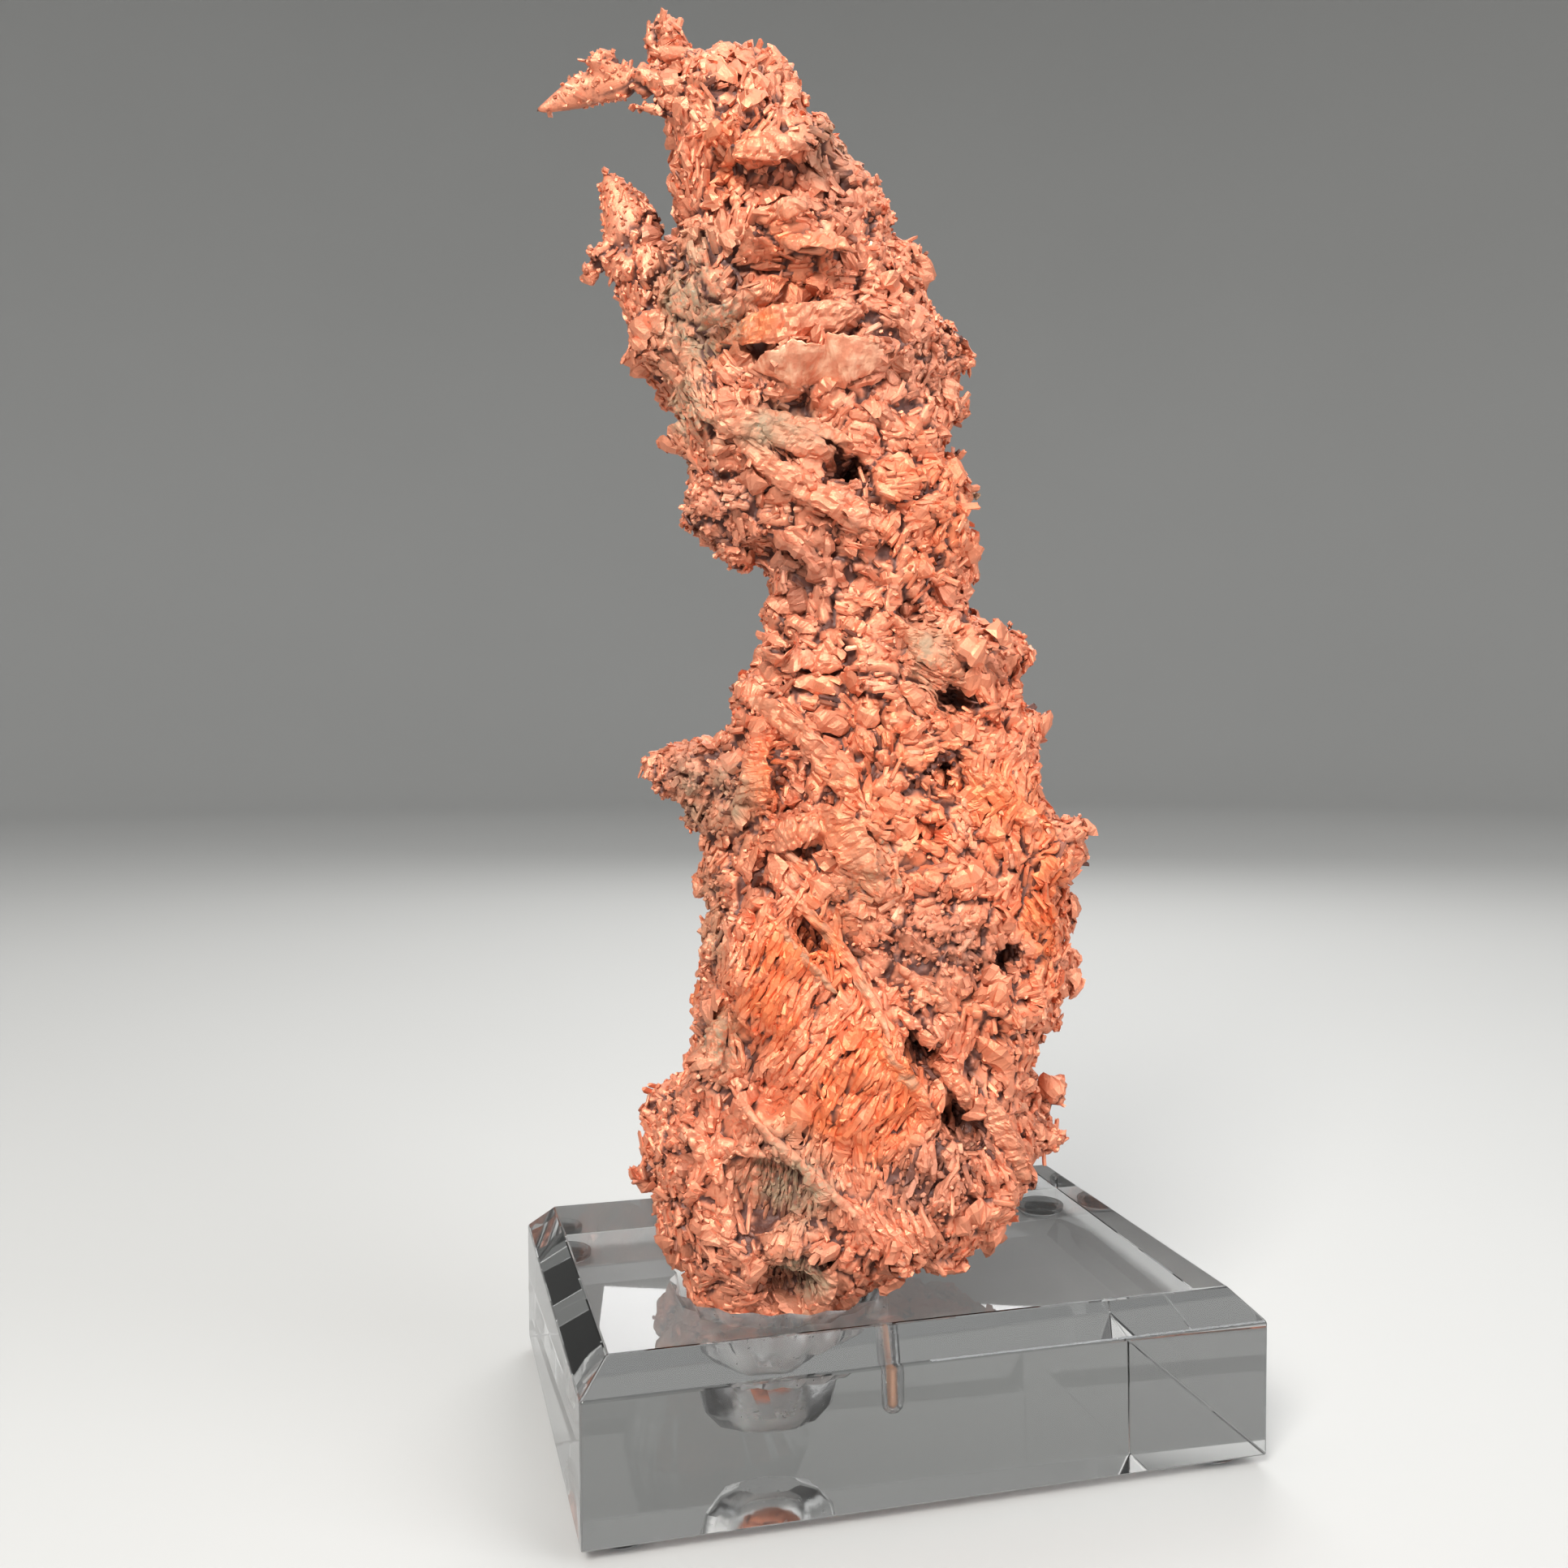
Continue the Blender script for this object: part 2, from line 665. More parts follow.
# %% Cells and ridges
SHEAF_WAVE = 0.18
CRUMB_WAVE = 0.85
WALK = (-1.4, -0.7, 0.0, 0.7, 1.4)
RIDGE_WAVE = 0.85
FANS = [
    (-7.5, 69.5, 8, 12.5, -24, 1), (3, 56, 11.5, 10.5, 0, 1), (27, 97, 6.5, 6.5, 0, 0.8),
    (25, 47, 5, 7, 28, 0.8), (9, 42, 7, 6, 0, 0.8), (-10, 100, 4, 6, 0, 1),
]
STRIPED = [
    (-6, 43, 8, 7.5, 0, 1), (-4.5, 29.8, 5.5, 4.5, -20, 1), (-7.3, 148.5, 7.5, 3.5, -12, 0.9),
    (15, 115.5, 4.5, 6, 10, 0.9), (-18, 157, 3.5, 6, 15, 0.8),
]


def noise_at(points, wave):
    """Smooth noise from -1 to 1, in waves of about 1 / wave millimetres."""
    return np.array([noise.noise(Vector(p) * wave) for p in points])


def smooth_step(values, low, high):
    """0 below low, 1 above high and a smooth step between."""
    share = np.clip((values - low) / (high - low), 0, 1)
    return share * share * (3 - 2 * share)


def cells_at(points, wave):
    """Distance to a gap between cells, and three random numbers of each point's own cell."""
    gaps = np.zeros(len(points))
    seeds = np.zeros((len(points), 3))
    for i, point in enumerate(points):
        reach, places = noise.voronoi(Vector(point) * wave)
        gaps[i] = (reach[1] - reach[0]) / wave
        seeds[i] = places[0]
    mixed = seeds @ np.array([[12.99, 39.35, 73.16], [78.23, 11.14, 52.24], [37.72, 83.16, 9.15]])
    return gaps, np.abs(np.sin(mixed) * 4375.85) % 1.0


def sheaves(points):
    """Gap distance, random numbers and the turn that the sheaf adds to the grain."""
    gaps, chance = cells_at(points, SHEAF_WAVE)
    calm = np.maximum(area_strength(FANS, points), area_strength(STRIPED, points))
    turn = (chance[:, 0] - 0.5) * (1.9 - 1.65 * calm)
    return gaps, chance, turn, calm


def ridges(points, normals, turn):
    """Noise averaged over a short walk along the grain, so only ridges along it are left."""
    grain = grain_vectors(points, normals, turn)
    total = sum(noise_at(points + step * grain, RIDGE_WAVE) for step in WALK)
    return 1.0 - np.abs(3.0 * total / len(WALK))


print(len(FANS), "fans and", len(STRIPED), "striped hollows")

# %% Raise the relief
RIDGE_HEIGHT = 0.75
RIDGE_LEVEL = 0.75
SHEAF_STEP = 1.3
SHEAF_LEVEL = 0.6
SHEAF_GAP = 1.05
LUMP_WAVE = 0.22
LUMP_HEIGHT = 0.5
CRUMB_HEIGHT = 0.55
CRUMB_ANYWHERE = 0.35
FAN_DEPTH = 0.5
HIGHEST_RELIEF = 0.7
SMOOTH_BELOW = 22.0
SMOOTH_FADE = 5.0
PIT_FILL = 1.1
TOP_LIMIT = cad_high.z / MM - COPPER_PLACE.z

gaps, chance, turn, calm = sheaves(body_points)
crumb_gaps, crumb_chance = cells_at(body_points, CRUMB_WAVE)
crumb_share = area_strength(CRUMB, body_points)
body_gap = (1 - smooth_step(gaps, 0.0, 1.1)) * (1 - 0.6 * calm)
relief = RIDGE_HEIGHT * (ridges(body_points, body_normals, turn) - RIDGE_LEVEL) * (1 - 0.6 * crumb_share)
relief += SHEAF_STEP * (chance[:, 1] - SHEAF_LEVEL) * (1 - 0.7 * calm) - SHEAF_GAP * body_gap
relief += LUMP_HEIGHT * (noise_at(body_points, LUMP_WAVE) - 0.2)
crumbs = smooth_step(crumb_gaps, 0.0, 0.6) + crumb_chance[:, 0] - 1.1
relief += CRUMB_HEIGHT * crumbs * (CRUMB_ANYWHERE + crumb_share)
relief -= FAN_DEPTH * smooth_step(area_strength(FANS, body_points), 0.3, 0.8)
relief *= np.clip((body_points[:, 2] - SMOOTH_BELOW) / SMOOTH_FADE, 0.4, 1.0)
slim = slim_share(body_points)
relief = np.maximum(relief * (1 - 0.3 * slim), -SLIM_DEPTH - SLIM_FADE * (1 - slim))
relief = np.minimum(relief, np.where(body_points[:, 2] > TOP_LIMIT - 1.2, -0.1, HIGHEST_RELIEF))
relief += PIT_FILL * smooth_step(pit_share, 0.75, 1.0)
body_points = body_points + relief[:, None] * body_normals
body_mesh.vertices.foreach_set("co", body_points.astype(np.float32).ravel())
body_mesh.update()
body_normals = read_vectors(body_mesh, "normal")
body_tree = make_tree(body_points)
body_shelter = sheltered(body_tree, body_points, body_normals)
print("relief from", round(relief.min(), 2), "to", round(relief.max(), 2), "mm")

# %% [markdown]
# ## Planting small crystals
#
# Thousands of leaflets are too many for separate objects. One small crystal is modelled in a
# few shapes, and arrays copy it to every spot. Each copy has its place, three directions and
# three sizes, and all of them join into one mesh. Two attributes hold each copy's colours.

# %% Colour attributes
SKIN = "skin"
DETAIL = "detail"


def skin_values(points):
    """Patina, brown and bright at each point, broken up by noise."""
    ragged = 1 + 0.9 * noise_at(points, 0.18) + 0.7 * noise_at(points, 0.6)
    layers = [np.clip(area_strength(areas, points) * ragged, 0, 1) for areas in (PATINA, BROWN, BRIGHT)]
    return np.stack(layers, 1)


def write_colours(mesh, name, values):
    """Store an array of three numbers a point as a colour attribute."""
    layer = mesh.attributes.new(name, "FLOAT_COLOR", "POINT")
    full = np.ones((len(values), 4), np.float32)
    full[:, :3] = values
    layer.data.foreach_set("color", full.ravel())


def add_piece(name, mesh, material):
    """Put a finished mesh on the root body under its slot of the record."""
    mesh.name = name
    mesh.materials.clear()
    mesh.materials.append(material)
    piece = in_scene(name, mesh)
    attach(piece, "root")
    return piece


def crystal_piece(name, points, faces, skin, detail, count, material):
    """A piece from arrays: places in millimetres, triangles and the two colour attributes."""
    mesh = bpy.data.meshes.new(name)
    mesh.from_pydata(world_points(points), [], faces)
    write_colours(mesh, SKIN, skin)
    write_colours(mesh, DETAIL, np.stack(detail, 1))
    print(name, "joins", count, "closed skins,", len(faces), "triangles")
    return add_piece(name, mesh, material)


print("attributes:", SKIN, "and", DETAIL)


# %% Spots on the surface
NEARBY = [(x, y, z) for x in (-1, 0, 1) for y in (-1, 0, 1) for z in (-1, 0, 1)]


def random_spots(count, rng):
    """Points spread over the body by area, with their normals and shelter."""
    a, b, c = (body_points[body_faces[:, k]] for k in range(3))
    area = np.linalg.norm(np.cross(b - a, c - a), axis=1)
    pick = rng.choice(len(body_faces), count, p=area / area.sum())
    root = np.sqrt(rng.random(count))
    slide = rng.random(count)
    shares = np.stack([1 - root, root * (1 - slide), root * slide], 1)[:, :, None]
    corner = body_faces[pick]
    points = (body_points[corner] * shares).sum(1)
    normals = unit((body_normals[corner] * shares).sum(1))
    shelter = (body_shelter[corner] * shares[:, :, 0]).sum(1)
    return points, normals, shelter


def spaced(points, spacing):
    """Indexes of points that keep at least the spacing from each other."""
    cells = {}
    kept = []
    for i, (x, y, z) in enumerate(np.floor(points / spacing).astype(int).tolist()):
        near = [cells.get((x + dx, y + dy, z + dz)) for dx, dy, dz in NEARBY]
        gaps = [((points[i] - points[j]) ** 2).sum() for j in near if j is not None]
        if not gaps or min(gaps) >= spacing ** 2:
            cells[x, y, z] = i
            kept.append(i)
    return np.array(kept)


rng = np.random.default_rng(29)
trial_points, _, _ = random_spots(2000, rng)
print("a trial of 2000 spots leaves", len(spaced(trial_points, 3.0)), "at 3 mm spacing")


# %% Crystal shapes
BLUNT = 0.74


def crystal_shapes(count, rounds, rings, rng, ragged, bend):
    """Closed little crystals about 1 mm each way, long axis z. Returns points and triangles."""
    shapes = []
    triangles = None
    for _ in range(count):
        bm = bmesh.new()
        bmesh.ops.create_uvsphere(bm, u_segments=rounds, v_segments=rings, radius=0.5)
        bmesh.ops.triangulate(bm, faces=bm.faces)
        curl = rng.uniform(-bend, bend)
        blunt = rng.uniform(BLUNT, 0.95)
        for vert in bm.verts:
            tip = abs(vert.co.z) > 0.45
            vert.co.z *= blunt if tip else 1.45
            vert.co.x += rng.uniform(-ragged, ragged)
            vert.co.y += rng.uniform(-ragged, ragged) + curl * (4 * vert.co.z ** 2 - 0.5)
            vert.co.z += rng.uniform(-ragged, ragged) * 0.8
        shapes.append([vert.co[:] for vert in bm.verts])
        triangles = [[vert.index for vert in face.verts] for face in bm.faces]
        bm.free()
    return np.array(shapes), np.array(triangles)


def plant(name, shapes, triangles, points, normals, along, sizes, shelter, tones, material, rng):
    """Copy the shapes to the points. Sizes are width, thickness and length for each copy."""
    count = len(points)
    side = unit(np.cross(along, normals))
    flat = np.cross(side, along)
    pick = shapes[rng.integers(0, len(shapes), count)]
    places = (
        points[:, None]
        + pick[:, :, 0:1] * (side * sizes[:, 0:1])[:, None]
        + pick[:, :, 1:2] * (flat * sizes[:, 1:2])[:, None]
        + pick[:, :, 2:3] * (along * sizes[:, 2:3])[:, None]
    )
    fits = places[:, :, 2].max(1) < TOP_LIMIT
    places, points, shelter, tones, pick = (x[fits] for x in (places, points, shelter, tones, pick))
    count = len(points)
    per_shape = shapes.shape[1]
    faces = triangles[None] + (np.arange(count) * per_shape)[:, None, None]
    skin = np.repeat(skin_values(points), per_shape, axis=0)
    height = np.clip(pick[:, :, 2] + 0.5, 0, 1).ravel()
    detail = (np.repeat(tones, per_shape), height, np.repeat(shelter, per_shape))
    return crystal_piece(name, places.reshape(-1, 3), faces.reshape(-1, 3), skin, detail, count, material)


print("planting helpers ready")

# %% [markdown]
# ## The finish of the copper
#
# Native copper that was cleaned and then handled is dull, half metal and half oxide: rough
# enough to lose its mirror, with a salmon tone on the raised tips and a dark purple brown in
# the gaps. The attributes say where patina, brown and fresh orange lie, and noise breaks every
# edge. The bump adds the hammered grain that is too fine for geometry.

# %% Copper material
SALMON = (0.70, 0.258, 0.148)
ORANGE = (0.76, 0.193, 0.070)
TIP = (0.95, 0.54, 0.35)
UMBER = (0.32, 0.150, 0.100)
SAGE = (0.31, 0.225, 0.140)
VERDIGRIS = (0.27, 0.40, 0.34)
GAP_TONE = (0.070, 0.020, 0.014)


def copper_finish(name, gap_from_height):
    """Dull copper, which darkens towards the foot of a crystal if the height says so."""
    recipe = Recipe(name)
    patina, brown, bright = recipe.split(SKIN)
    tone, height, shelter = recipe.split(DETAIL)
    cloud = recipe.grain(140.0, 3.0, 0.6)
    speck = recipe.grain(1500.0, 2.0, 0.6)
    colour = recipe.mix((bright * 0.9 + (cloud - 0.5) * 0.7).clamped(), SALMON, ORANGE)
    colour = recipe.mix((brown * (cloud + 0.35)).clamped(), colour, UMBER)
    pale = recipe.band(tone + (speck - 0.5) * 0.5, 0.72, 1.1) * 0.8
    colour = recipe.mix(pale * (1 - brown * 0.6), colour, TIP)
    green = (patina * recipe.band(speck + cloud, 0.72, 1.12)).clamped()
    colour = recipe.mix(green * 0.9, colour, SAGE)
    colour = recipe.mix(recipe.band(green, 0.85, 1.0) * recipe.band(speck, 0.66, 0.78), colour, VERDIGRIS)
    gap = recipe.band(shelter, 0.32, 0.95) * 0.95
    if gap_from_height:
        gap = (gap + (1 - recipe.band(height, 0.1, 0.5)) * 0.4).clamped()
    colour = recipe.mix(gap, colour, GAP_TONE)
    metal = (0.62 - green * 0.5 - brown * 0.3).clamped() * (1 - gap * 0.8)
    rough = 0.50 + (speck - 0.5) * 0.35 + green * 0.2 + brown * 0.1
    bump = recipe.bump(recipe.grain(2600.0, 3.0, 0.6), 0.5, 0.0002)
    return recipe.finish(Base_Color=colour, Metallic=metal, Roughness=rough, Normal=bump)


crystal_copper = copper_finish("leafy copper", True)
body_copper = copper_finish("copper body", False)
print("copper finishes:", crystal_copper.name, "and", body_copper.name)

# %% [markdown]
# The body gets its colour attributes and goes back into the world in metres. It is cut in two
# by height, because one mesh of this many faces would be too heavy. The lower part takes the
# place of the solid copper.

# %% Finish the body
BODY_SPLIT = 100.0

body_detail = np.stack([
    0.35 + 0.3 * noise_at(body_points, 0.5),
    np.ones(len(body_points)),
    np.clip(body_shelter + 0.6 * body_gap + 0.3 * np.clip(-relief - 0.3, 0, 1) + 0.3 * calm, 0, 1),
], 1)
write_colours(body_mesh, SKIN, skin_values(body_points))
write_colours(body_mesh, DETAIL, body_detail)
body_mesh.vertices.foreach_set("co", world_points(body_points).astype(np.float32).ravel())
body_mesh.shade_smooth()


def body_part(name, keep):
    """The faces of the body on one side of the split, as a piece."""
    mesh = body_mesh.copy()
    bm = bmesh.new()
    bm.from_mesh(mesh)
    bm.faces.ensure_lookup_table()
    drop = [face for face in bm.faces if not keep(face)]
    bmesh.ops.delete(bm, geom=drop, context="FACES")
    bm.to_mesh(mesh)
    bm.free()
    print(name, 2 * len(mesh.polygons), "triangles at most")
    return add_piece(name, mesh, body_copper)


split = (BODY_SPLIT + COPPER_PLACE.z) * MM
lower = body_part("copper_body_lower", lambda face: face.verts[0].co.z < split)
body_part("copper_body_upper", lambda face: face.verts[0].co.z >= split)
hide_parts("native_copper")

# %% [markdown]
# ## Ribs and slabs
#
# The large ribs and slabs are what the eye finds first. Each is listed by points across the
# front: how far right, how high and how wide there. Before the points stand its share of that
# width, how strong its wrinkles are and how much grey-green patina is on its crest. A flake has
# its middle, length, width and turn, and a last number that makes it lighter.

# %% Ribs and slabs
RIBS = [
    ("long slab", 0.85, 0.3, 0.2, (-16, 150.5, 4), (-9, 149, 4.6), (-2, 146.5, 4.4), (1.5, 143.5, 2.8)),
    ("jowl rib", 0.8, 0.8, 0.1, (-13, 148, 3.6), (-6, 142, 4.6), (1, 138, 4.6), (7, 133, 3.2)),
    ("upper ridge", 0.85, 0.9, 0.3, (-11.5, 110.8, 3.6), (-8, 109, 4.6), (-3, 105, 4.4), (2, 99, 5),
     (5, 95, 3.6)),
    ("comb flake", 0.9, 1.4, 0, (-10, 105, 3.6), (-10.2, 100, 5.6), (-9.6, 95.5, 3.6)),
    ("petal", 0.85, 0.8, 0.3, (-2, 95.5, 3.6), (2, 92, 7.6), (5, 87, 6.4), (7.5, 82.5, 3)),
    ("petal edge", 0.6, 0.3, 1, (6, 93, 2.4), (9.2, 88, 2.4), (9.8, 83, 2.2)),
    ("centre flake", 0.9, 0.4, 0.4, (-9, 89.5, 3), (-4.5, 92, 5.2), (-0.5, 93.2, 2.8)),
    ("long rib", 0.5, 0.3, 0.7, (-8.5, 86, 3.4), (-2, 80, 3.8), (3, 73.5, 3.8), (6.5, 67.5, 3.6),
     (8.3, 63, 3)),
    ("long rib twin", 0.5, 0.3, 0.8, (-9, 81, 2.6), (-4, 75, 3), (1, 69.5, 2.6)),
    ("lower rib", 0.6, 0.5, 0.7, (6, 64, 3.6), (9, 60, 4.4), (12.5, 55.5, 4.2), (15, 50, 2.8)),
    ("grey rib", 0.8, 0.6, 0.5, (9, 73.5, 2.6), (13.5, 70, 3), (18, 65.5, 2.4)),
    ("crevice rod", 0.6, 0.5, 0.2, (14.5, 60.5, 3.6), (18, 56.5, 4.2), (20, 52, 3)),
    ("foot rib", 0.45, 0.3, 0.3, (-14, 55.5, 2.8), (-9, 50.5, 3.6), (-3, 45, 3.4), (2, 40.5, 3.2),
     (6, 37, 2.6)),
    ("shard left", 0.9, 0.2, 0, (-20, 49, 2.4), (-17, 45.5, 3.8), (-15, 42.5, 2.2)),
    ("shard middle", 0.9, 0.2, 0, (-18.5, 46, 2.6), (-14.5, 47.5, 2.8), (-9, 47, 2)),
    ("foot shard", 0.9, 0.2, 0, (0, 31, 3.4), (-0.5, 27.5, 3.4), (-1.5, 25, 2)),
    ("right column", 0.8, 0.6, 0.2, (22, 54, 4), (25, 48, 4.4), (28, 42, 3.8), (29, 38.5, 2.8)),
    ("fan spine", 0.7, 0.4, 0.1, (20, 101, 3), (25, 96, 4), (30, 92, 3)),
    ("shoulder spine", 0.8, 0.5, 0.2, (8, 123, 3), (14, 118, 3.6), (20, 113, 3)),
    ("patina leaf", 0.8, 0.4, 0.9, (-15, 66, 2.4), (-16.2, 61, 3.6), (-17, 56, 2.4)),
]
BACK_RIBS = [
    ("back rib high", 0.6, 0.6, 0.3, (-14, 190, 3), (-9, 185, 4.4), (-7, 178, 4), (-2, 172, 2.6)),
    ("back rib waist", 0.7, 0.6, 0.3, (12, 134, 3), (8, 127, 4.6), (9, 121, 4), (4, 115, 2.8)),
    ("back rib middle", 0.8, 0.6, 0.3, (-4, 108, 3), (-8, 101, 4.6), (-6, 94, 3)),
    ("back rib low", 0.6, 0.6, 0.3, (-10, 86, 3), (-4, 80, 5), (-2, 72, 4.2), (5, 66, 3)),
    ("back rib foot", 0.7, 0.6, 0.3, (22, 80, 3), (20, 72, 4.4), (13, 64, 4.2), (11, 57, 3)),
    ("back shard", 0.9, 0.4, 0.1, (-14, 52, 2.6), (-8, 48, 4.4), (-2, 46, 2.4)),
]
FLAKES = [
    ("pale flake", (-0.5, 158.6), 20, 7.5, 4, 0.26),
    ("upper flake", (-4.5, 163.6), 21, 5.2, 10, 0.06),
    ("orange flake", (-12, 166.8), 15, 3.8, 27, -0.1),
    ("brow edge", (-8.5, 187.5), 13, 3.4, 6, 0),
    ("middle edge", (-1, 173.5), 12, 3.6, -6, 0),
    ("middle crest", (-6.5, 178), 9, 3, 14, -0.05),
    ("slab edge", (-3.5, 149), 15, 3.6, -16, 0),
    ("waist flake", (3, 137.5), 9, 4.6, -50, 0.12),
    ("shoulder flake", (-4, 116.5), 13, 5, -14, 0),
]
BACK_FLAKES = [
    ("back flake high", (-4, 194), 14, 4.6, 15, 0),
    ("back flake middle", (8, 139), 16, 5.6, -20, 0.1),
    ("back flake low", (-6, 64), 17, 6, 30, 0),
]
RIB_RINGS = 46
RIB_SIDES = 24
RIB_TILT = 14
RIB_LIFT = 0.2
NARROW_LIFT = 0.5
FLAKE_TILT = -20
FLAKE_LIFT = 0.75
SMOOTH_TONE = 0.2
RIB_RISE = 0.62
FAR_OUT = 60.0
NEAR_SIDE = 12.0
FLAKE_SHARES = (-0.5, -0.36, -0.18, 0.0, 0.18, 0.36, 0.5)


def meet_body(u, z, side):
    """Where a level line from the front (-1) or back (1) meets the body."""
    place, normal, _, _ = body_tree.ray_cast(Vector((u, FAR_OUT * side, z)), Vector((0, -side, 0)))
    if place is None:
        place, normal, _, _ = body_tree.find_nearest(Vector((u, NEAR_SIDE * side, z)))
    return place, normal


def flake_line(place, length, width, roll):
    """A flake as a line of (u, z, width), widest in the middle."""
    line = []
    for share in FLAKE_SHARES:
        u = place[0] + share * length * math.cos(math.radians(roll))
        z = place[1] + share * length * math.sin(math.radians(roll))
        line.append((u, z, width * math.sqrt(1.05 - 4 * share * share)))
    return line


def rib_path(line, side):
    """A listed line laid on the body in even steps: points, tops, widths and distances."""
    spots, (u, z, wide) = even_steps(line, RIB_RINGS)
    found = [meet_body(a, b, side) for a, b in zip(u, z)]
    path = soften_paths(np.array([[f[0] for f in found]]), 12)
    tops = soften_paths(np.array([[f[1] for f in found]]), 12)[0]
    tops = unit(tops + (0, 0.8 * side, 0))
    return path[0], tops, wide, spots


def roughness(points):
    """Lumps of two sizes and cracks between crumbs, in millimetres, and how deep the crack is."""
    crack = 1 - smooth_step(cells_at(points, 0.45)[0], 0.0, 0.6)
    return 0.45 * noise_at(points, 0.45) + 0.3 * noise_at(points, 0.95) - 0.35 * crack, crack


def rib_skin(rng, line, share, wrinkle, patina, tilt, rise, side, lighter=0.0):
    """Skin of one rib, slab or flake. Tilt in degrees raises the edge on its right."""
    path, tops, wide, spots = rib_path(line, side)
    along = np.linspace(-1, 1, RIB_RINGS)
    taper = np.sqrt(np.clip(1 - along ** 4, 0.02, 1))
    phase = rng.uniform(0, 6)
    fold = np.abs(np.sin(spots * 2.6 + np.sin(spots * 0.9 + phase)))
    ragged_edge = 1 + 0.22 * noise_at(path, 0.5) + 0.14 * noise_at(path, 1.6)
    widths = wide * share * taper * ragged_edge
    heights = RIB_RISE * (1.5 + 0.9 * wrinkle * (fold - 0.5)) * (0.5 + 0.5 * taper)
    lift = rise + 0.3 * abs(math.sin(math.radians(tilt))) * widths + 0.15 * np.sin(spots * 0.8 + phase)
    ahead = unit(np.gradient(path, axis=0))
    right = unit(np.cross(ahead, tops))
    turn = math.radians(tilt) * (1 if right[:, 0].mean() * -side > 0 else -1)
    tops = unit(tops * math.cos(turn) - right * math.sin(turn))
    one = [x[None] for x in (path, tops, widths, heights, lift)]
    rings, high, faces = skin_paths(*one, RIB_SIDES)
    points = rings[0]
    rough, crack = roughness(points)
    calm_share = 0.4 if lighter > SMOOTH_TONE else 1.0
    points = points + calm_share * rough[:, None] * np.repeat(tops, RIB_SIDES, axis=0)
    skin = skin_values(points)
    worn = smooth_step(noise_at(points, 0.35), -0.25, 0.25)
    skin[:, 0] = np.maximum(skin[:, 0], patina * worn * smooth_step(high[0], 0.5, 0.85))
    taken.extend(zip(path, 0.42 * widths))
    tone = 0.6 + lighter + 0.4 * noise_at(points, 0.7)
    return points, high[0], faces[0], skin, tone, 0.5 * calm_share * crack


def join_skins(name, made):
    """One mesh from several skins."""
    points = np.concatenate([m[0] for m in made])
    starts = np.cumsum([0] + [len(m[0]) for m in made[:-1]])
    faces = np.concatenate([m[2] + start for m, start in zip(made, starts)])
    high, skin, tone, crack = (np.concatenate([m[k] for m in made]) for k in (1, 3, 4, 5))
    detail = (tone, high, np.clip(0.3 * (1 - high) + crack, 0, 1))
    return crystal_piece(name, points, faces, skin, detail, len(made), crystal_copper)


taken = []
rib_skins = []
for side, ribs in ((-1, RIBS), (1, BACK_RIBS)):
    for _, share, wrinkle, patina, *line in ribs:
        rise = RIB_LIFT if share > 0.7 else NARROW_LIFT
        rib_skins.append(rib_skin(rng, line, share, wrinkle, patina, RIB_TILT, rise, side))
flake_skins = []
for side, flakes in ((-1, FLAKES), (1, BACK_FLAKES)):
    for _, place, length, width, roll, lighter in flakes:
        line = flake_line(place, length, width, roll)
        flake_skins.append(rib_skin(rng, line, 0.95, 0.25, 0.15, FLAKE_TILT, FLAKE_LIFT, side, lighter))
join_skins("copper_ribs", rib_skins)
join_skins("copper_flakes", flake_skins)

# %% [markdown]
# The small crystals leave the ribs and flakes bare. A KD tree finds the nearest point of any
# rib's path, and a spot that is closer than the rib reaches there isn't used.

# %% Free spots
taken_tree = KDTree(len(taken))
for i, (point, _) in enumerate(taken):
    taken_tree.insert(Vector(point), i)
taken_tree.balance()


def is_free(points):
    """False where a rib or a flake already covers the body."""
    free = np.ones(len(points), bool)
    for i, point in enumerate(points):
        _, nearest, reach = taken_tree.find(Vector(point))
        free[i] = reach > taken[nearest][1]
    return free


print(round(100 * float(is_free(body_points).mean())), "percent of the body is free")

# %% [markdown]
# ## Leaflets and grains
#
# Leaflets lie along the grain like shingles, with their tips raised. They are spaced like
# seeds that keep clear of each other, because truly random spots would clump. Where the
# copper is crumbly there are round grains in place of leaflets.

# %% Leaflets
LEAF_TRIALS = 90000
LEAF_SPACING = 1.24
LEAF_LENGTH = (2.2, 0.38)
LEAF_WIDTH = (0.7, 1.45)
LEAF_THICKNESS = (0.45, 0.85)
LEAF_LIFT = (9.0, 11.0)
LOWEST_LEAF = 21.5
SLIM_SHRINK = 0.2
BARE_TIP = -41.5


def between(points, margin):
    """True above the bare foot and more than the margin below the top."""
    return (points[:, 2] > LOWEST_LEAF) & (points[:, 2] < TOP_LIMIT - margin)


def keep_spots(points, normals, shelter, wanted, spacing):
    """Of the wanted spots, those with room round them and off the ribs."""
    wanted = wanted & (points[:, 0] > BARE_TIP)
    points, normals, shelter = points[wanted], normals[wanted], shelter[wanted]
    chosen = spaced(points, spacing)
    chosen = chosen[is_free(points[chosen])]
    return points[chosen], normals[chosen], shelter[chosen]


def leaf_directions(points, normals, chance, turn, rng):
    """Along the sheaf's grain, with a slightly raised tip, all one way within a sheaf."""
    spread = turn + rng.normal(0, 0.2, len(points))
    along = grain_vectors(points, normals, spread)
    heads = np.where(chance[:, 2] > 0.5, 1.0, -1.0)
    lift = np.radians(np.clip(rng.normal(*LEAF_LIFT, len(points)), -4, 38))[:, None]
    return unit(along * heads[:, None] * np.cos(lift) + normals * np.sin(lift))


